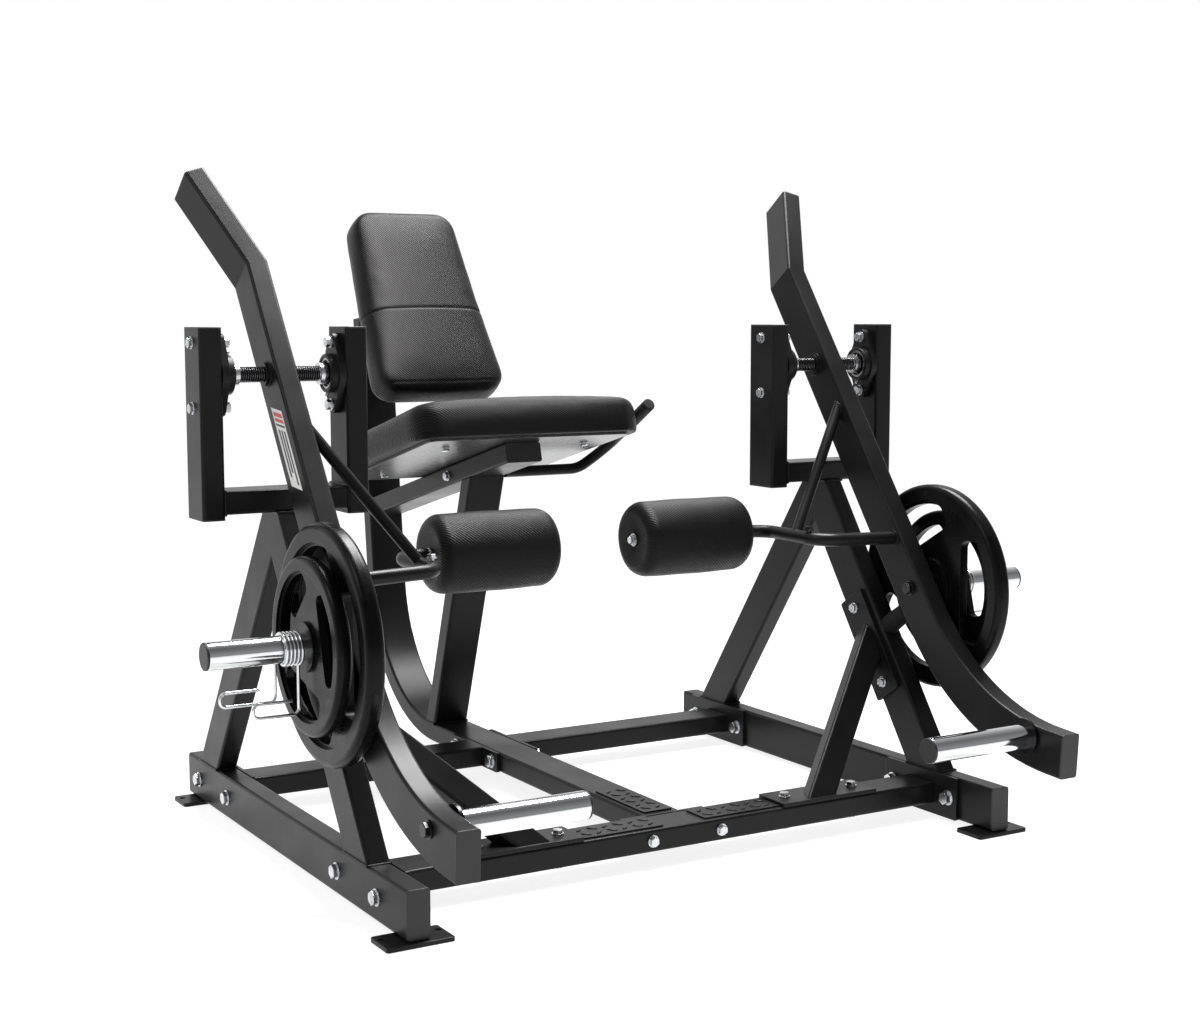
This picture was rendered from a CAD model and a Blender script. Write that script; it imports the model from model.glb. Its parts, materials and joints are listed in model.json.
"""Looks for the leg extension machine: materials, upholstery, treads, weld beads, floor, light and camera."""

import json
import math

import bmesh
import bpy
from mathutils import Matrix, Vector


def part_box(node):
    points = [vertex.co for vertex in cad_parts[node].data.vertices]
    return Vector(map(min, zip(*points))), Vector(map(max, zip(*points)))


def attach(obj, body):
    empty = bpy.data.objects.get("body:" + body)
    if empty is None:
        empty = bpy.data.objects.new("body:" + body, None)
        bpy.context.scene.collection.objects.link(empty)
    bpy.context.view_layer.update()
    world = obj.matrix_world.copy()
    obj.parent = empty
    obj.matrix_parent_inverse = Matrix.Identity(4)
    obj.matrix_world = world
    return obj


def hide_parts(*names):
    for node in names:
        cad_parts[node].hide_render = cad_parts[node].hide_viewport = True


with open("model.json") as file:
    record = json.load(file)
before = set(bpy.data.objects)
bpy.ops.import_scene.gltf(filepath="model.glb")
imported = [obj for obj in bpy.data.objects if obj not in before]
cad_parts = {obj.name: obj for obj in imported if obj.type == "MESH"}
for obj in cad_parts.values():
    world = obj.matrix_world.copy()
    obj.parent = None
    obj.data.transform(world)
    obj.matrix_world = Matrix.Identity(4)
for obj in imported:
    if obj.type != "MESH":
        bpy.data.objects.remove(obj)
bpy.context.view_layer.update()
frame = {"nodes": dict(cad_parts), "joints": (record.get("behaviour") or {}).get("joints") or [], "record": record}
NODES = frame["nodes"]
JOINTS = {joint["name"]: joint for joint in frame["joints"]}
SIDES = {"left": -1, "right": 1}

LEVER_X = JOINTS["right_lever_pivot"]["pos_m"][0]
THREAD_PITCH = 0.0045
COLLAR_SPAN = (0.0815, 0.092)
HORN_ROOT = (0.6284, 0.6856)
CHROME_TONE = (0.74, 0.75, 0.77)
LEVER_LEAN = math.radians(35.5)
LEVER_DOWN = Vector((0, -math.sin(LEVER_LEAN), -math.cos(LEVER_LEAN)))
LEVER_BACK = Vector((0, math.cos(LEVER_LEAN), -math.sin(LEVER_LEAN)))
SEAT_TILT = math.radians(14)
BACK_LEAN = math.radians(29.5)
BACK_BOTTOM, BACK_TOP, BACK_BELOW_SEAM = 0.171, 0.135, 0.217
WELT_ABOVE_EDGE = 0.022


# ---------------------------------------------------------------- node materials
class Shader:
    """Short hand for building a node material around one Principled shader."""

    def __init__(self, name, base, metallic=0.0, roughness=0.5, specular=0.5):
        self.material = bpy.data.materials.new(name)
        self.material.use_nodes = True
        self.tree = self.material.node_tree
        self.bsdf = self.tree.nodes["Principled BSDF"]
        self.bsdf.inputs["Base Color"].default_value = (*base, 1)
        self.bsdf.inputs["Metallic"].default_value = metallic
        self.bsdf.inputs["Roughness"].default_value = roughness
        self.bsdf.inputs["Specular IOR Level"].default_value = specular
        self.coordinates = self.tree.nodes.new("ShaderNodeTexCoord").outputs["Object"]

    def node(self, kind, **settings):
        made = self.tree.nodes.new(kind)
        for key, value in settings.items():
            setattr(made, key, value)
        return made

    def link(self, source, target):
        self.tree.links.new(source, target)

    def math(self, operation, first, second=None):
        made = self.node("ShaderNodeMath", operation=operation)
        for socket, value in zip(made.inputs, (first, second)):
            if value is None:
                continue
            if isinstance(value, (int, float)):
                socket.default_value = value
            else:
                self.link(value, socket)
        return made.outputs[0]

    def axes(self):
        split = self.node("ShaderNodeSeparateXYZ")
        self.link(self.coordinates, split.inputs[0])
        return split.outputs

    def noise(self, scale, detail=3.0, stretch=(1, 1, 1)):
        mapping = self.node("ShaderNodeMapping")
        mapping.inputs["Scale"].default_value = stretch
        self.link(self.coordinates, mapping.inputs["Vector"])
        made = self.node("ShaderNodeTexNoise")
        made.inputs["Scale"].default_value = scale
        made.inputs["Detail"].default_value = detail
        self.link(mapping.outputs[0], made.inputs["Vector"])
        return made.outputs["Fac"]

    def remap(self, value, low, high, new_low, new_high):
        made = self.node("ShaderNodeMapRange")
        self.link(value, made.inputs["Value"])
        for key, number in (("From Min", low), ("From Max", high), ("To Min", new_low), ("To Max", new_high)):
            made.inputs[key].default_value = number
        return made.outputs["Result"]

    def mix_color(self, factor, first, second):
        made = self.node("ShaderNodeMix", data_type="RGBA")
        self.link(factor, made.inputs[0])
        for socket, value in ((made.inputs[6], first), (made.inputs[7], second)):
            if isinstance(value, tuple):
                socket.default_value = (*value, 1)
            else:
                self.link(value, socket)
        return made.outputs[2]

    def color(self, source):
        self.link(source, self.bsdf.inputs["Base Color"])

    def roughness(self, source):
        self.link(source, self.bsdf.inputs["Roughness"])

    def bump(self, height, distance, strength=1.0, soften=0.0):
        made = self.node("ShaderNodeBump")
        made.inputs["Strength"].default_value = strength
        made.inputs["Distance"].default_value = distance
        self.link(height, made.inputs["Height"])
        if soften:
            bevel = self.node("ShaderNodeBevel", samples=4)
            bevel.inputs["Radius"].default_value = soften
            self.link(bevel.outputs[0], made.inputs["Normal"])
        self.link(made.outputs[0], self.bsdf.inputs["Normal"])

    def edge_wear(self, radius):
        """1 along sharp edges, 0 on flat faces."""
        bevel = self.node("ShaderNodeBevel", samples=4)
        bevel.inputs["Radius"].default_value = radius
        geometry = self.node("ShaderNodeNewGeometry")
        product = self.node("ShaderNodeVectorMath", operation="DOT_PRODUCT")
        self.link(bevel.outputs[0], product.inputs[0])
        self.link(geometry.outputs["Normal"], product.inputs[1])
        return self.remap(product.outputs["Value"], 0.97, 0.80, 0.0, 1.0)


def powder_coat():
    """Satin black powder coat: orange-peel texture, slightly polished and greyed along its edges."""
    made = Shader("satin_black_powder_coat", (0.007, 0.007, 0.0075), roughness=0.34, specular=0.18)
    blotch = made.noise(9, 4)
    grain = made.noise(1400, 2)
    wear = made.math("MULTIPLY", made.edge_wear(0.0018), made.remap(made.noise(60, 5), 0.42, 0.7, 0.1, 1.0))
    tint = made.mix_color(made.remap(blotch, 0.3, 0.7, 0, 1), (0.0055, 0.0055, 0.006), (0.009, 0.009, 0.0096))
    made.color(made.mix_color(wear, tint, (0.07, 0.07, 0.072)))
    dusty = made.remap(blotch, 0.3, 0.7, 0.30, 0.40)
    made.roughness(made.math("SUBTRACT", dusty, made.math("MULTIPLY", wear, 0.08)))
    made.bump(grain, 0.00006, 0.55, soften=0.0016)
    return made.material


def satin_steel():
    """Bare satin steel plate with fine directional brushing."""
    made = Shader("satin_steel_plate", (0.16, 0.16, 0.165), metallic=1.0, roughness=0.32)
    brush = made.noise(40, 4, (1, 22, 22))
    made.color(made.mix_color(brush, (0.13, 0.13, 0.135), (0.21, 0.21, 0.215)))
    made.roughness(made.remap(brush, 0.3, 0.7, 0.22, 0.38))
    made.bump(brush, 0.00004, 0.5, soften=0.001)
    return made.material


def zinc(name, base, dark_above=None):
    """Plated fastener: bright with cloudy passivation, worn flats."""
    made = Shader(name, base, metallic=1.0, roughness=0.28)
    cloud = made.noise(160, 4)
    scratch = made.noise(700, 3, (1, 1, 0.2))
    bright = tuple(min(1, value * 1.15) for value in base)
    dull = tuple(value * 0.72 for value in base)
    tone = made.mix_color(made.remap(cloud, 0.35, 0.65, 0, 1), dull, bright)
    if dark_above is not None:
        tone = made.mix_color(made.remap(made.axes()[2], dark_above - 0.001, dark_above, 0, 1),
                              (0.035, 0.035, 0.037), tone)
    made.color(tone)
    made.roughness(made.remap(scratch, 0.3, 0.7, 0.18, 0.36))
    made.bump(scratch, 0.00005, 0.4, soften=0.0007)
    return made.material


def chrome():
    made = Shader("polished_chrome", CHROME_TONE, metallic=1.0, roughness=0.1)
    scuff = made.noise(85, 5, (0.25, 1, 1))
    fine = made.noise(900, 2, (0.08, 1, 1))
    made.color(made.mix_color(made.remap(scuff, 0.4, 0.7, 0, 1), CHROME_TONE, (0.64, 0.65, 0.67)))
    polish = made.remap(scuff, 0.35, 0.75, 0.06, 0.18)
    made.roughness(made.math("ADD", polish, made.math("MULTIPLY", fine, 0.05)))
    made.bump(fine, 0.00002, 0.3, soften=0.0006)
    return made.material


def horn_chrome():
    """The same chrome with the dark clamping collar at the horn's root."""
    made = Shader("horn_chrome", CHROME_TONE, metallic=1.0, roughness=0.12)
    out = made.math("ABSOLUTE", made.axes()[0])
    root = made.math("MULTIPLY", made.remap(out, HORN_ROOT[0] - 0.0005, HORN_ROOT[0], 0, 1),
                     made.remap(out, HORN_ROOT[1], HORN_ROOT[1] + 0.0005, 1, 0))
    scuff = made.noise(60, 4, (0.25, 1, 1))
    made.color(made.mix_color(root, CHROME_TONE, (0.03, 0.03, 0.032)))
    polish = made.remap(scuff, 0.35, 0.75, 0.07, 0.15)
    made.roughness(made.math("ADD", polish, made.math("MULTIPLY", root, 0.2)))
    made.bump(scuff, 0.00002, 0.2, soften=0.0006)
    return made.material


def ground_steel():
    made = Shader("ground_bearing_steel", (0.34, 0.34, 0.35), metallic=1.0, roughness=0.22)
    turned = made.noise(500, 3, (1, 0.05, 0.05))
    made.color(made.mix_color(turned, (0.26, 0.26, 0.27), (0.42, 0.42, 0.43)))
    made.roughness(made.remap(turned, 0.3, 0.7, 0.14, 0.3))
    made.bump(turned, 0.00003, 0.4, soften=0.0006)
    return made.material


def threaded_shaft():
    """Blackened shaft cut with a fine thread, bare and bright beside the thrust collars."""
    made = Shader("threaded_shaft", (0.03, 0.03, 0.032), metallic=1.0, roughness=0.3)
    span = made.math("ABSOLUTE", made.math("SUBTRACT", made.math("ABSOLUTE", made.axes()[0]), LEVER_X))
    ridge = made.math("SINE", made.math("MULTIPLY", span, 2 * math.pi / THREAD_PITCH))
    collar = made.math("MULTIPLY", made.remap(span, COLLAR_SPAN[0] - 0.001, COLLAR_SPAN[0], 0, 1),
                       made.remap(span, COLLAR_SPAN[1], COLLAR_SPAN[1] + 0.001, 1, 0))
    crest = made.mix_color(made.remap(ridge, -0.2, 1.0, 0, 1), (0.012, 0.012, 0.013), (0.16, 0.16, 0.17))
    made.color(made.mix_color(collar, crest, (0.62, 0.62, 0.64)))
    made.roughness(made.remap(made.noise(300, 3), 0.3, 0.7, 0.2, 0.36))
    flattened = made.math("MULTIPLY", ridge, made.math("SUBTRACT", 1.0, collar))
    made.bump(flattened, 0.0008, 0.9)
    return made.material


def casting():
    """Painted sand casting: coarse skin under thin black paint."""
    made = Shader("painted_casting", (0.007, 0.007, 0.0075), roughness=0.42, specular=0.2)
    skin = made.noise(420, 6)
    wear = made.edge_wear(0.0015)
    made.color(made.mix_color(wear, (0.007, 0.007, 0.0075), (0.045, 0.045, 0.047)))
    made.roughness(made.remap(skin, 0.3, 0.7, 0.32, 0.5))
    made.bump(skin, 0.0004, 0.5, soften=0.0018)
    return made.material


def rubber(name, base, roughness, grain_scale, depth, ribs=None):
    """Moulded rubber with a pebbled skin, dusty in its hollows; ribs are rings along one axis."""
    made = Shader(name, base, roughness=roughness, specular=0.13)
    pebble = made.noise(grain_scale, 3)
    dust = made.noise(14, 5)
    grey = tuple(value * 1.9 for value in base)
    made.color(made.mix_color(made.remap(dust, 0.45, 0.75, 0, 1), base, grey))
    made.roughness(made.remap(dust, 0.3, 0.75, roughness - 0.06, roughness + 0.12))
    height = pebble
    if ribs:
        axis, pitch = ribs
        along = made.node("ShaderNodeVectorMath", operation="DOT_PRODUCT")
        made.link(made.coordinates, along.inputs[0])
        along.inputs[1].default_value = axis
        wave = made.math("SINE", made.math("MULTIPLY", along.outputs["Value"], 2 * math.pi / pitch))
        height = made.math("ADD", made.math("MULTIPLY", wave, 2.5), pebble)
    made.bump(height, depth, 0.6, soften=0.002)
    return made.material


def plastic():
    made = Shader("moulded_black_plastic", (0.014, 0.014, 0.015), roughness=0.48)
    spark = made.noise(900, 3)
    made.color(made.mix_color(made.noise(30, 3), (0.011, 0.011, 0.012), (0.019, 0.019, 0.02)))
    made.roughness(made.remap(spark, 0.3, 0.7, 0.42, 0.56))
    made.bump(spark, 0.0001, 0.5, soften=0.001)
    return made.material


def plywood():
    """Dark stained plywood: ply lines and a long grain."""
    made = Shader("stained_plywood", (0.03, 0.022, 0.016), roughness=0.65, specular=0.3)
    grain = made.noise(30, 6, (1, 12, 12))
    ply = made.math("SINE", made.math("MULTIPLY", made.axes()[2], 2 * math.pi / 0.003))
    tone = made.mix_color(grain, (0.018, 0.013, 0.009), (0.04, 0.03, 0.021))
    made.color(made.mix_color(made.remap(ply, 0.3, 0.9, 0, 0.35), tone, (0.01, 0.008, 0.006)))
    made.roughness(made.remap(grain, 0.3, 0.7, 0.55, 0.75))
    made.bump(grain, 0.0003, 0.4)
    return made.material


def twill_vinyl(name, wrapped_radius=None, seam_at=None):
    """Black vinyl embossed with a diagonal twill; wrapped_radius runs the twill around a roller."""
    made = Shader(name, (0.006, 0.006, 0.0063), roughness=0.3, specular=0.17)
    x, y, z = made.axes()
    if wrapped_radius:
        angle = made.math("ARCTAN2", z, made.math("MULTIPLY", y, -1.0))
        around = made.math("MULTIPLY", angle, wrapped_radius)
        first, second = x, around
    else:
        first, second = x, made.math("ADD", y, z)
    pitch = 0.005
    turn = 2 * math.pi / (pitch * math.sqrt(2))
    rib_phase = made.math("MULTIPLY", made.math("ADD", first, second), turn)
    thread_phase = made.math("MULTIPLY", made.math("SUBTRACT", first, second), turn * 1.5)
    rib = made.math("SINE", rib_phase)
    thread = made.math("SINE", made.math("ADD", thread_phase, made.math("MULTIPLY", rib, 0.8)))
    height = made.math("ADD", rib, made.math("MULTIPLY", thread, 0.35))
    wrinkle = made.noise(26, 5)
    pores = made.noise(1500, 2)
    light = made.remap(height, -1.0, 1.2, 0.0, 1.0)
    tone = made.mix_color(light, (0.0012, 0.0012, 0.0013), (0.0072, 0.0072, 0.0076))
    if seam_at is not None:
        distance = made.math("ABSOLUTE", made.math("SUBTRACT", y, seam_at))
        groove = made.remap(distance, 0.0008, 0.0022, 0.0, 1.0)
        tone = made.mix_color(groove, (0.001, 0.001, 0.001), tone)
        height = made.math("ADD", height, made.math("MULTIPLY", groove, 5.0))
    made.color(tone)
    sheen = made.remap(light, 0, 1, 0.46, 0.26)
    made.roughness(made.math("ADD", sheen, made.math("MULTIPLY", wrinkle, 0.06)))
    skin = made.math("ADD", made.math("MULTIPLY", wrinkle, 1.2), made.math("MULTIPLY", pores, 0.25))
    total = made.math("ADD", height, skin)
    made.bump(total, 0.00034, 0.85)
    return made.material


def painted(name, color):
    """Printed film colour with a slight gloss and fine wear."""
    made = Shader(name, color, roughness=0.35)
    wear = made.noise(220, 4)
    worn = tuple(value * 0.6 for value in color)
    made.color(made.mix_color(made.remap(wear, 0.55, 0.8, 0, 0.5), color, worn))
    made.roughness(made.remap(wear, 0.3, 0.7, 0.28, 0.45))
    made.bump(wear, 0.00003, 0.3)
    return made.material


PAINT = powder_coat()
ZINC = zinc("bright_zinc", (0.62, 0.63, 0.65))
LEVER_ZINC = zinc("lever_fasteners", (0.62, 0.63, 0.65), dark_above=0.58)
DARK_FASTENER = zinc("dark_fasteners", (0.05, 0.05, 0.052))
CHROME = chrome()
HORN = horn_chrome()
STEEL = ground_steel()
CASTING = casting()
SHAFT = threaded_shaft()
PLATE_RUBBER = rubber("plate_rubber", (0.0025, 0.0025, 0.0025), 0.26, 900, 0.0001)
BUMPER_RUBBER = rubber("bumper_rubber", (0.008, 0.008, 0.008), 0.55, 700, 0.0002)
PLASTIC = plastic()
PLYWOOD = plywood()
PLATE_STEEL = satin_steel()
FLAT_VINYL = twill_vinyl("twill_vinyl")
BACK_VINYL = twill_vinyl("twill_vinyl_back", seam_at=0.0)
ROLLER_VINYL = twill_vinyl("twill_vinyl_roller", wrapped_radius=0.082)

BY_SLOT = {"satin_black_paint": PAINT, "zinc_steel": ZINC, "chrome": CHROME, "bearing_steel": STEEL,
           "cast_housing": CASTING, "plate_rubber": PLATE_RUBBER, "bumper_rubber": BUMPER_RUBBER,
           "black_plastic": PLASTIC, "plywood": PLYWOOD, "black_vinyl": FLAT_VINYL,
           "grip_rubber": BUMPER_RUBBER}
grip_low, grip_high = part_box("handle_grip")
grip_axis = Vector((0, grip_low.y - grip_high.y, grip_high.z - grip_low.z)).normalized()
BY_NODE = {"seat_plate": PLATE_STEEL, "left_lever_bolts": LEVER_ZINC, "right_lever_bolts": DARK_FASTENER,
           "left_pivot_shaft": SHAFT, "right_pivot_shaft": SHAFT,
           "left_weight_horns": HORN, "right_weight_horns": HORN,
           "handle_grip": rubber("grip_rubber", (0.011, 0.011, 0.011), 0.5, 800, 0.0005, (grip_axis, 0.006))}


def dress(piece, material):
    """Give a mesh one material."""
    piece.data.materials.clear()
    piece.data.materials.append(material)


for entry in frame["record"]["subparts"]:
    name = entry["node"]
    dress(NODES[name], BY_NODE.get(name, BY_SLOT[entry["material_slot"]]))


def new_object(name, mesh, matrix=None):
    made = bpy.data.objects.new(name, mesh)
    bpy.context.scene.collection.objects.link(made)
    if matrix is not None:
        made.matrix_world = matrix
    return made


def basis(origin, x_axis, y_axis, z_axis):
    """World matrix from an origin and three unit axes."""
    matrix = Matrix((x_axis, y_axis, z_axis)).transposed().to_4x4()
    matrix.translation = origin
    return matrix


# ---------------------------------------------------------------- upholstery
def rounded_outline(half_x, half_y, corner, taper, segments=14):
    """Points around a rounded rectangle, counter-clockwise; taper narrows it towards +Y."""
    points = []
    for sign_x, sign_y, start in ((1, 1, 0), (-1, 1, 90), (-1, -1, 180), (1, -1, 270)):
        centre = (sign_x * (half_x - corner), sign_y * (half_y - corner))
        for step in range(segments + 1):
            angle = math.radians(start + 90 * step / segments)
            points.append((centre[0] + corner * math.cos(angle), centre[1] + corner * math.sin(angle)))
    dense = []
    for index, point in enumerate(points):
        after = points[(index + 1) % len(points)]
        pieces = max(1, round(math.dist(point, after) / 0.02))
        for step in range(pieces):
            share = step / pieces
            dense.append((point[0] + (after[0] - point[0]) * share, point[1] + (after[1] - point[1]) * share))
    return [(x * (1 - taper * y / half_y), y) for x, y in dense]


def pad_mesh(name, half_x, half_y, corner, taper, edge, crown, rounding, arch=0.0, skirt=0.0):
    """Closed pad: sides that bulge a little, rounded shoulders and a crowned top.

    arch lifts the middle of the whole pad's width; skirt lets the cover hang below the base at the -Y end.
    """
    rings = [(0.016, 0.0), (0.012, 0.0), (0.004, 0.0), (0.0005, 0.004)]
    rings += [(0.0005 - 0.0015 * math.sin(math.pi * share), 0.004 + share * (edge - rounding - 0.004))
              for share in (0.25, 0.5, 0.75, 1.0)]
    for step in range(1, 9):
        angle = math.pi / 2 * step / 8
        rings.append((rounding * (1 - math.cos(angle)), edge - rounding + rounding * math.sin(angle)))
    reach = min(half_x, half_y) - rounding
    for step in range(1, 15):
        share = step / 15
        rings.append((rounding + share * reach, edge + crown * math.sin(math.pi / 2 * share) ** 0.9))
    mesh = bpy.data.meshes.new(name)
    build = bmesh.new()
    previous = None
    for inset, height in rings:
        ring_corner = max(corner - inset, 0.012)
        ring_corner = min(ring_corner, half_x - inset - 0.001)
        outline = rounded_outline(half_x - inset, half_y - inset, ring_corner, taper)
        ring = []
        for x, y in outline:
            rise = arch * (1 - (x / half_x) ** 2) * min(1, height / edge) ** 2
            hang = skirt * max(0, -y / half_y) ** 2 * max(0, 1 - height / 0.02) * max(0, 1 - inset / 0.012)
            ring.append(build.verts.new((x, y, height + rise - hang)))
        if previous:
            bridge(build, previous, ring)
        else:
            build.faces.new(list(reversed(ring)))
        previous = ring
    build.faces.new(previous)
    bmesh.ops.recalc_face_normals(build, faces=build.faces)
    build.to_mesh(mesh)
    build.free()
    return mesh


def bridge(build, low, high):
    """Faces between two closed rings that may differ in their number of points."""
    edges = []
    for ring in (low, high):
        for index, vertex in enumerate(ring):
            after = ring[(index + 1) % len(ring)]
            edges.append(build.edges.get((vertex, after)) or build.edges.new((vertex, after)))
    bmesh.ops.bridge_loops(build, edges=edges)


def evaluated_mesh(piece):
    graph = bpy.context.evaluated_depsgraph_get()
    return bpy.data.meshes.new_from_object(piece.evaluated_get(graph))


def apply_modifier(piece, kind, **settings):
    modifier = piece.modifiers.new(kind.lower(), kind)
    for key, value in settings.items():
        setattr(modifier, key, value)
    mesh = evaluated_mesh(piece)
    piece.modifiers.clear()
    piece.data = mesh


def puff(piece, pressure, cap, pinned_below):
    """Inflate a closed pad with a cloth simulation; its base stays where it is."""
    apply_modifier(piece, "REMESH", mode="VOXEL", voxel_size=0.006)
    rest = [vertex.co.copy() for vertex in piece.data.vertices]
    group = piece.vertex_groups.new(name="base")
    group.add([index for index, point in enumerate(rest) if point.z < pinned_below], 1.0, "REPLACE")
    cloth = piece.modifiers.new("cloth", "CLOTH")
    cloth.settings.quality = 6
    cloth.settings.mass = 0.4
    cloth.settings.tension_stiffness = 40
    cloth.settings.compression_stiffness = 40
    cloth.settings.bending_stiffness = 8
    cloth.settings.use_pressure = True
    cloth.settings.uniform_pressure_force = pressure
    cloth.settings.effector_weights.gravity = 0
    cloth.settings.vertex_group_mass = "base"
    cloth.point_cache.frame_start = 1
    cloth.point_cache.frame_end = 20
    for step in range(1, 21):
        bpy.context.scene.frame_set(step)
    puffed = evaluated_mesh(piece)
    bpy.context.scene.frame_set(1)
    piece.modifiers.clear()
    piece.vertex_groups.clear()
    for vertex, start in zip(puffed.vertices, rest):
        move = vertex.co - start
        if move.length > cap:
            vertex.co = start + move * (cap / move.length)
    piece.data = puffed
    apply_modifier(piece, "SMOOTH", factor=0.7, iterations=8)


def finish_pad(piece, material):
    apply_modifier(piece, "SUBSURF", levels=1, render_levels=1)
    for polygon in piece.data.polygons:
        polygon.use_smooth = True
    dress(piece, material)


def sew_line(piece, along, at, depth, width, above=0.0):
    """Press a sewn channel into a pad where one coordinate crosses a value."""
    normals = [vertex.normal.copy() for vertex in piece.data.vertices]
    for vertex, normal in zip(piece.data.vertices, normals):
        if vertex.co.z < above:
            continue
        reach = (vertex.co[along] - at) / width
        vertex.co -= normal * depth * math.exp(-reach * reach)
    piece.data.update()


X_AXIS = Vector((1, 0, 0))
seat_axes = (X_AXIS, Vector((0, math.cos(SEAT_TILT), -math.sin(SEAT_TILT))),
             Vector((0, math.sin(SEAT_TILT), math.cos(SEAT_TILT))))
back_axes = (X_AXIS, Vector((0, math.sin(BACK_LEAN), math.cos(BACK_LEAN))),
             Vector((0, -math.cos(BACK_LEAN), math.sin(BACK_LEAN))))


def local_extent(node, axes):
    """Low and high coordinates of a CAD node along three axes."""
    values = [[vertex.co.dot(axis) for vertex in NODES[node].data.vertices] for axis in axes]
    return [min(row) for row in values], [max(row) for row in values]


def pad_origin(low, high, axes):
    """Centre of the pad's base."""
    return axes[1] * ((low[1] + high[1]) / 2) + axes[2] * low[2]


PAD_EASE = 0.002
PUFF_PRESSURE, PINNED_BELOW = 0.9, 0.006
SEAT_CORNER, SEAT_SHOULDER = 0.060, 0.028
BACK_CORNER, BACK_SHOULDER = 0.050, 0.026

seat_low, seat_high = local_extent("seat_cushion", seat_axes)
seat_half = ((seat_high[0] - seat_low[0]) / 2, (seat_high[1] - seat_low[1]) / 2)
seat_thick = seat_high[2] - seat_low[2]
seat_mesh = pad_mesh("seat_upholstery", seat_half[0] - PAD_EASE, seat_half[1] - PAD_EASE, SEAT_CORNER, 0.0,
                     seat_thick - 0.005, 0.005, SEAT_SHOULDER, arch=0.009, skirt=0.009)
seat = new_object("seat_upholstery", seat_mesh)
puff(seat, PUFF_PRESSURE, 0.003, PINNED_BELOW)
finish_pad(seat, FLAT_VINYL)
seat.matrix_world = basis(pad_origin(seat_low, seat_high, seat_axes), *seat_axes)
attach(seat, "frame")
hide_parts("seat_cushion")

back_low, back_high = local_extent("back_cushion", back_axes)
back_half_y = (back_high[1] - back_low[1]) / 2
BACK_HALF = ((BACK_BOTTOM + BACK_TOP) / 2, back_half_y)
BACK_TAPER = (BACK_BOTTOM - BACK_TOP) / (BACK_BOTTOM + BACK_TOP)
back_mesh = pad_mesh("back_upholstery", BACK_HALF[0] - PAD_EASE, BACK_HALF[1] - PAD_EASE, BACK_CORNER,
                     BACK_TAPER, back_high[2] - back_low[2] - 0.006, 0.007, BACK_SHOULDER)
back = new_object("back_upholstery", back_mesh)
puff(back, PUFF_PRESSURE, 0.004, PINNED_BELOW)
finish_pad(back, BACK_VINYL)
SEAM_Y = BACK_BELOW_SEAM - back_half_y
for vertex in back.data.vertices:
    vertex.co.y -= SEAM_Y
sew_line(back, 1, 0.0, 0.0026, 0.0032, above=0.004)
sew_line(back, 1, WELT_ABOVE_EDGE - BACK_BELOW_SEAM, 0.0012, 0.0025, above=0.02)
back_base = pad_origin(back_low, back_high, back_axes) + back_axes[1] * SEAM_Y
back.matrix_world = basis(back_base, *back_axes)
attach(back, "frame")
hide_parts("back_cushion")


def roller_mesh(name, length, radius, bore):
    """Foam roller turned around X: rounded shoulders, a faint crown and a pinched, dished end."""
    profile = [(-length / 2 + 0.004, bore)]
    shoulder = 0.026
    for step in range(0, 5):
        share = step / 4
        profile.append((-length / 2 + 0.004 * (1 - share), bore + 0.001 + share * (radius - shoulder - bore)))
    for step in range(1, 10):
        angle = math.pi / 2 * step / 9
        profile.append((-length / 2 + shoulder * (1 - math.cos(angle)),
                        radius - shoulder + shoulder * math.sin(angle) - 0.0012))
    middle = 24
    for step in range(1, middle):
        x = -length / 2 + shoulder + (length - 2 * shoulder) * step / middle
        profile.append((x, radius - 0.0012 * abs(2 * step / middle - 1) ** 2))
    profile += [(-x, r) for x, r in reversed(profile[:15])]
    turns = 120
    mesh = bpy.data.meshes.new(name)
    build = bmesh.new()
    rings = []
    for x, r in profile:
        ring = []
        for turn in range(turns):
            angle = 2 * math.pi * turn / turns
            ripple = 0.0007 * math.sin(3 * angle + 21 * x) * math.sin(2 * angle - 34 * x)
            reach = r + (ripple if r > bore + 0.002 else 0)
            ring.append(build.verts.new((x, reach * math.cos(angle), reach * math.sin(angle))))
        rings.append(ring)
    rings.append(rings[0])
    for low, high in zip(rings, rings[1:]):
        for turn in range(turns):
            after = (turn + 1) % turns
            build.faces.new((low[turn], low[after], high[after], high[turn]))
    bmesh.ops.recalc_face_normals(build, faces=build.faces)
    build.to_mesh(mesh)
    build.free()
    for polygon in mesh.polygons:
        polygon.use_smooth = True
    return mesh


for side_name in SIDES:
    low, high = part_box(f"{side_name}_roller_pad")
    roller = new_object(f"{side_name}_roller_foam", roller_mesh(f"{side_name}_roller_foam", high.x - low.x,
                                                                (high.z - low.z) / 2 - 0.0005, 0.0141))
    roller.matrix_world = Matrix.Translation((low + high) / 2)
    dress(roller, ROLLER_VINYL)
    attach(roller, f"{side_name}_roller")
    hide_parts(f"{side_name}_roller_pad")


# ---------------------------------------------------------------- small hard details
TREAD_PITCH = 0.029
TREAD_HALF_LENGTH, TREAD_HALF_WIDTH, TREAD_HEIGHT = 0.0125, 0.0044, 0.0016
TREAD_MARGIN = 0.006


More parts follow.
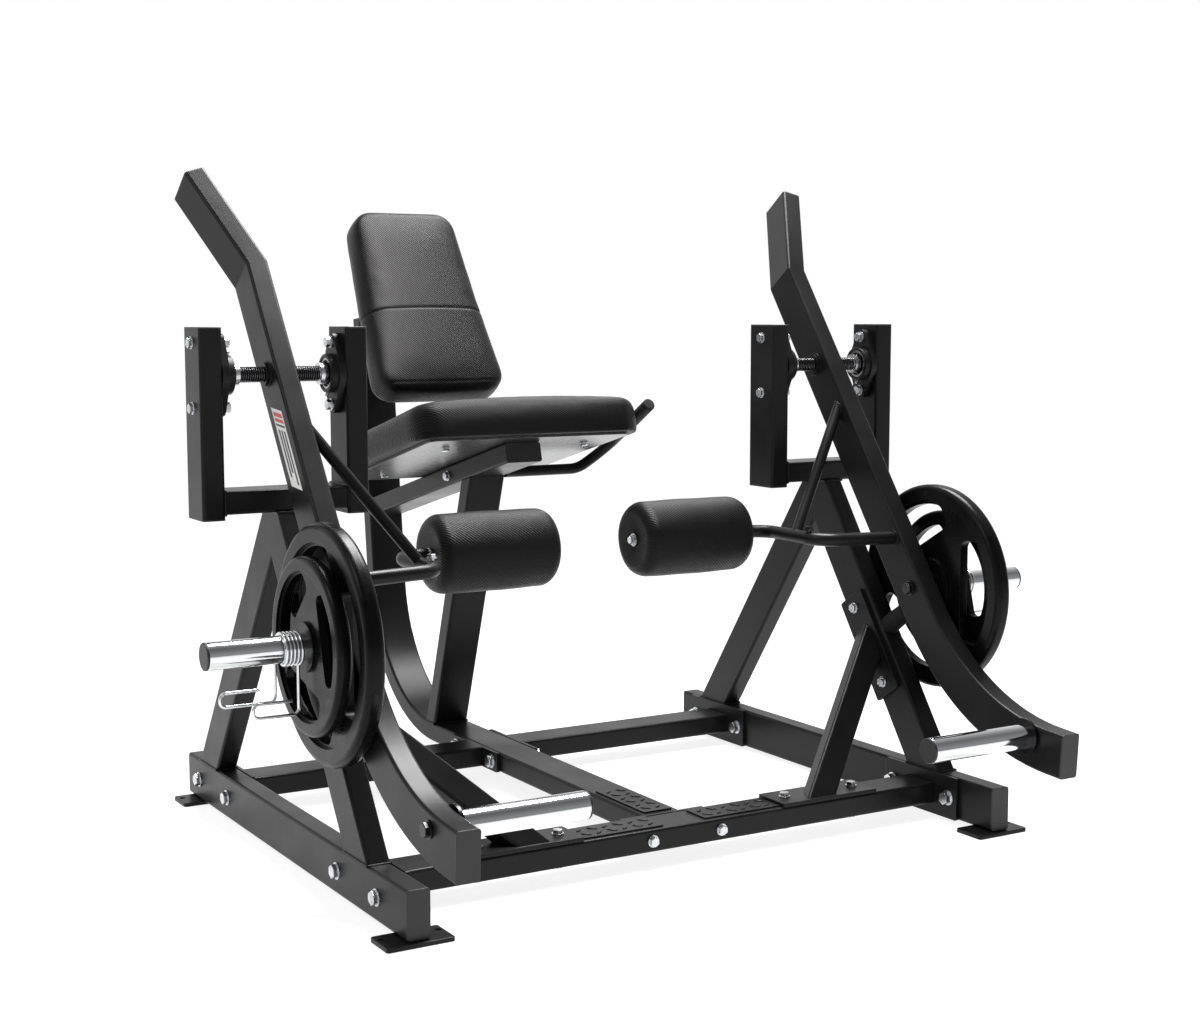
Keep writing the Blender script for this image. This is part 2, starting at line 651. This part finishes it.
def lozenge_field(name, low, high, top):
    """Raised tread lozenges, alternately turned, on a plate's top face."""
    mesh = bpy.data.meshes.new(name)
    build = bmesh.new()
    columns = max(1, int((high.x - low.x - TREAD_MARGIN) / TREAD_PITCH))
    rows = max(1, int((high.y - low.y - TREAD_MARGIN) / TREAD_PITCH))
    start_x = (low.x + high.x) / 2 - (columns - 1) * TREAD_PITCH / 2
    start_y = (low.y + high.y) / 2 - (rows - 1) * TREAD_PITCH / 2
    for column in range(columns):
        for row in range(rows):
            angle = math.radians(45 if (column + row) % 2 else -45)
            along = Vector((math.cos(angle), math.sin(angle), 0))
            across = Vector((-along.y, along.x, 0))
            centre = Vector((start_x + column * TREAD_PITCH, start_y + row * TREAD_PITCH, top))
            steps = 10
            rim = []
            crest = []
            for step in range(steps):
                turn = 2 * math.pi * step / steps
                flat = along * math.cos(turn) * TREAD_HALF_LENGTH + across * math.sin(turn) * TREAD_HALF_WIDTH
                rim.append(build.verts.new(centre + flat))
                crest.append(build.verts.new(centre + flat * 0.6 + Vector((0, 0, TREAD_HEIGHT))))
            for step in range(steps):
                after = (step + 1) % steps
                build.faces.new((rim[step], rim[after], crest[after], crest[step]))
            build.faces.new(crest)
            build.faces.new(list(reversed(rim)))
    build.to_mesh(mesh)
    build.free()
    for polygon in mesh.polygons:
        polygon.use_smooth = True
    made = new_object(name, mesh)
    dress(made, PAINT)
    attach(made, "frame")


def islands(node):
    """Bounding boxes of the separate solids in a node."""
    build = bmesh.new()
    build.from_mesh(NODES[node].data)
    bmesh.ops.remove_doubles(build, verts=build.verts, dist=1e-6)
    seen = set()
    boxes = []
    for first in build.verts:
        if first in seen:
            continue
        stack = [first]
        seen.add(first)
        points = []
        while stack:
            vertex = stack.pop()
            points.append(vertex.co.copy())
            for edge in vertex.link_edges:
                other = edge.other_vert(vertex)
                if other not in seen:
                    seen.add(other)
                    stack.append(other)
        boxes.append((Vector([min(p[i] for p in points) for i in range(3)]),
                      Vector([max(p[i] for p in points) for i in range(3)])))
    build.free()
    return boxes


for number, (low, high) in enumerate(islands("step_plates")):
    lozenge_field(f"tread_pattern_{number}", low, high, high.z)


def weld_bead(name, corners, body, radius=0.0028):
    """Rippled weld bead along a chain of points."""
    points = []
    for start, end in zip(corners, corners[1:]):
        run = end - start
        pieces = max(1, round(run.length / 0.003))
        for step in range(pieces):
            points.append(start + run * (step / pieces))
    points.append(corners[-1])
    curve = bpy.data.curves.new(name, "CURVE")
    curve.dimensions = "3D"
    curve.bevel_depth = radius
    curve.bevel_resolution = 2
    spline = curve.splines.new("POLY")
    spline.points.add(len(points) - 1)
    for index, (target, point) in enumerate(zip(spline.points, points)):
        target.co = (*point, 1)
        target.radius = 1.0 if index % 2 else 0.86
    holder = bpy.data.objects.new(name, curve)
    bpy.context.scene.collection.objects.link(holder)
    mesh = evaluated_mesh(holder)
    bpy.data.objects.remove(holder)
    for polygon in mesh.polygons:
        polygon.use_smooth = True
    made = new_object(name, mesh)
    dress(made, PAINT)
    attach(made, body)


def rectangle(low, high, z):
    """Closed rectangle of points at height z."""
    return [Vector((low.x, low.y, z)), Vector((high.x, low.y, z)), Vector((high.x, high.y, z)),
            Vector((low.x, high.y, z)), Vector((low.x, low.y, z))]


def foot_box(node, height, tolerance=0.004):
    """Bounding box of a node's points near one height."""
    points = [vertex.co for vertex in NODES[node].data.vertices if abs(vertex.co.z - height) < tolerance]
    return (Vector([min(p[i] for p in points) for i in range(3)]),
            Vector([max(p[i] for p in points) for i in range(3)]))


rail_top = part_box("left_side_rail")[1].z
crossbar_low, crossbar_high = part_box("tower_crossbars")
for side_name, side in SIDES.items():
    for place in ("front", "rear"):
        low, high = foot_box(f"{side_name}_{place}_leg", rail_top)
        weld_bead(f"{side_name}_{place}_leg_foot_bead", rectangle(low, high, rail_top), "frame")
        low, high = foot_box(f"{side_name}_{place}_leg", crossbar_low.z)
        weld_bead(f"{side_name}_{place}_leg_top_bead", rectangle(low, high, crossbar_low.z), "frame")
    for place, inward in (("inner", 1), ("outer", -1)):
        low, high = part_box(f"{side_name}_{place}_upright")
        face = (low.x if side * inward < 0 else high.x)
        corners = [Vector((face, y, z)) for y, z in ((low.y, crossbar_low.z), (high.y, crossbar_low.z),
                                                     (high.y, crossbar_high.z), (low.y, crossbar_high.z),
                                                     (low.y, crossbar_low.z))]
        weld_bead(f"{side_name}_{place}_upright_bead", corners, "frame")
low, high = foot_box("front_post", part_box("front_cross_rail")[1].z, 0.01)
weld_bead("front_post_foot_bead", rectangle(low, high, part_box("front_cross_rail")[1].z), "frame")


def ring_points(centre, axis, radius, count=40):
    """Closed circle of points around an axis."""
    side_axis = axis.orthogonal().normalized()
    other = axis.cross(side_axis)
    return [centre + side_axis * radius * math.cos(2 * math.pi * k / count)
            + other * radius * math.sin(2 * math.pi * k / count) for k in range(count + 1)]


LEVER_HALF_WIDTH = 0.0225
INNER_BEADS = (("arm", -0.289, 0.583, 0.0150), ("brace", -0.087, 0.853, 0.0135))
HUB_BEAD_RADIUS = 0.0240

for side_name, side in SIDES.items():
    body = f"{side_name}_lever"
    pivot = Vector(JOINTS[f"{side_name}_lever_pivot"]["pos_m"])
    for label, from_pivot, z, radius in INNER_BEADS:
        centre = Vector((pivot.x - side * LEVER_HALF_WIDTH, pivot.y + from_pivot, z))
        weld_bead(f"{side_name}_{label}_bead", ring_points(centre, X_AXIS, radius), body, 0.0024)
    for face in (-1, 1):
        centre = pivot + Vector((face * LEVER_HALF_WIDTH, 0, 0))
        weld_bead(f"{side_name}_hub_bead_{face + 1}", ring_points(centre, X_AXIS, HUB_BEAD_RADIUS), body, 0.0026)


def sticker(name, corners, material, body, lift):
    """Thin printed film: a closed slab on four corners."""
    mesh = bpy.data.meshes.new(name)
    build = bmesh.new()
    normal = (corners[1] - corners[0]).cross(corners[2] - corners[0]).normalized()
    if normal.dot(lift) < 0:
        normal = -normal
    low = [build.verts.new(corner + lift * 0.2) for corner in corners]
    high = [build.verts.new(corner + lift) for corner in corners]
    build.faces.new(high)
    build.faces.new(list(reversed(low)))
    for index in range(4):
        after = (index + 1) % 4
        build.faces.new((low[index], low[after], high[after], high[index]))
    bmesh.ops.recalc_face_normals(build, faces=build.faces)
    build.to_mesh(mesh)
    build.free()
    made = new_object(name, mesh)
    dress(made, material)
    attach(made, body)


WHITE_FILM = painted("white_film", (0.75, 0.75, 0.74))
RED_FILM = painted("red_film", (0.55, 0.02, 0.02))
BLACK_FILM = painted("black_film", (0.01, 0.01, 0.011))


def lever_slab(name, start, end, near, far, material, lift):
    """Film on the left lever's outer face between two distances down it, with slanted ends."""
    pivot = Vector(JOINTS["left_lever_pivot"]["pos_m"])
    face = pivot - X_AXIS * LEVER_HALF_WIDTH
    slant = 0.85
    corners = []
    for down, back_offset in ((start, near), (start, far), (end, far), (end, near)):
        corners.append(face + LEVER_DOWN * (down - slant * back_offset) + LEVER_BACK * back_offset)
    sticker(name, corners, material, "left_lever", Vector((-lift, 0, 0)))


lever_slab("label_panel", 0.080, 0.256, -0.021, 0.021, WHITE_FILM, 0.0003)
lever_slab("label_bar_1", 0.088, 0.098, -0.017, 0.017, RED_FILM, 0.0005)
lever_slab("label_bar_2", 0.102, 0.110, -0.017, 0.017, RED_FILM, 0.0005)
lever_slab("label_bar_3", 0.115, 0.120, -0.017, 0.017, BLACK_FILM, 0.0005)
for index, (start, end) in enumerate(((0.128, 0.246), (0.128, 0.222), (0.128, 0.234))):
    near = -0.014 + index * 0.0105
    lever_slab(f"label_stripe_{index}", start, end, near, near + 0.006, BLACK_FILM, 0.0005)


# ---------------------------------------------------------------- floor, light and camera
def floor_material():
    made = Shader("pale_floor", (0.33, 0.33, 0.33), roughness=0.8, specular=0.1)
    made.color(made.mix_color(made.noise(3, 3), (0.32, 0.32, 0.32), (0.34, 0.34, 0.34)))
    made.bsdf.inputs["Emission Color"].default_value = (1, 1, 1, 1)
    made.bsdf.inputs["Emission Strength"].default_value = 0.85
    return made.material


bpy.ops.mesh.primitive_plane_add(size=60, location=(0, 0, 0))
floor = bpy.context.object
floor.name = "studio_floor"
dress(floor, floor_material())

# axis of the direction, where the fade starts and ends, and the strength at both ends
FRONT_TO_BACK = (1, -0.35, 0.35, 0.3, 1.0)
LOW_TO_HIGH = (2, 0.25, 0.75, 1.0, 0.5)

world = bpy.data.worlds.new("studio")
bpy.context.scene.world = world
world.use_nodes = True
sky = world.node_tree.nodes
sky["Background"].inputs["Color"].default_value = (1.0, 1.0, 1.0, 1)
direction = sky.new("ShaderNodeSeparateXYZ")
world.node_tree.links.new(sky.new("ShaderNodeTexCoord").outputs["Generated"], direction.inputs[0])
glow = sky.new("ShaderNodeMath")
glow.operation = "MULTIPLY"
for slot, (axis, low, high, at_low, at_high) in enumerate((FRONT_TO_BACK, LOW_TO_HIGH)):
    fade = sky.new("ShaderNodeMapRange")
    for key, number in (("From Min", low), ("From Max", high), ("To Min", at_low), ("To Max", at_high)):
        fade.inputs[key].default_value = number
    world.node_tree.links.new(direction.outputs[axis], fade.inputs["Value"])
    world.node_tree.links.new(fade.outputs["Result"], glow.inputs[slot])
world.node_tree.links.new(glow.outputs[0], sky["Background"].inputs["Strength"])


def soft_box(name, location, target, size, power):
    light = bpy.data.lights.new(name, "AREA")
    light.shape = "RECTANGLE"
    light.size, light.size_y = size
    light.energy = power
    holder = bpy.data.objects.new(name, light)
    bpy.context.scene.collection.objects.link(holder)
    holder.location = location
    holder.rotation_euler = (Vector(target) - Vector(location)).to_track_quat("-Z", "Y").to_euler()


soft_box("top_box", (0.9, 0.5, 3.6), (-0.1, 0, 0.7), (1.9, 1.5), 300)
soft_box("left_box", (-2.7, -0.7, 2.9), (-0.7, 0, 1.1), (1.2, 1.2), 18)
bpy.context.scene.view_settings.view_transform = "Standard"

camera_data = bpy.data.cameras.new("camera")
camera_data.lens = 55.25
camera_data.sensor_width = 36
camera_data.sensor_fit = "HORIZONTAL"
camera_data.clip_end = 60
camera = bpy.data.objects.new("camera", camera_data)
bpy.context.scene.collection.objects.link(camera)
yaw, pitch, roll = (math.radians(angle) for angle in (30.59, -6.2, -0.05))
look = Vector((math.sin(yaw) * math.cos(pitch), math.cos(yaw) * math.cos(pitch), math.sin(pitch)))
turn = look.to_track_quat("-Z", "Y").to_matrix().to_4x4() @ Matrix.Rotation(roll, 4, "Z")
camera.matrix_world = Matrix.Translation((-1.9354, -3.5156, 1.0670)) @ turn
bpy.context.scene.camera = camera
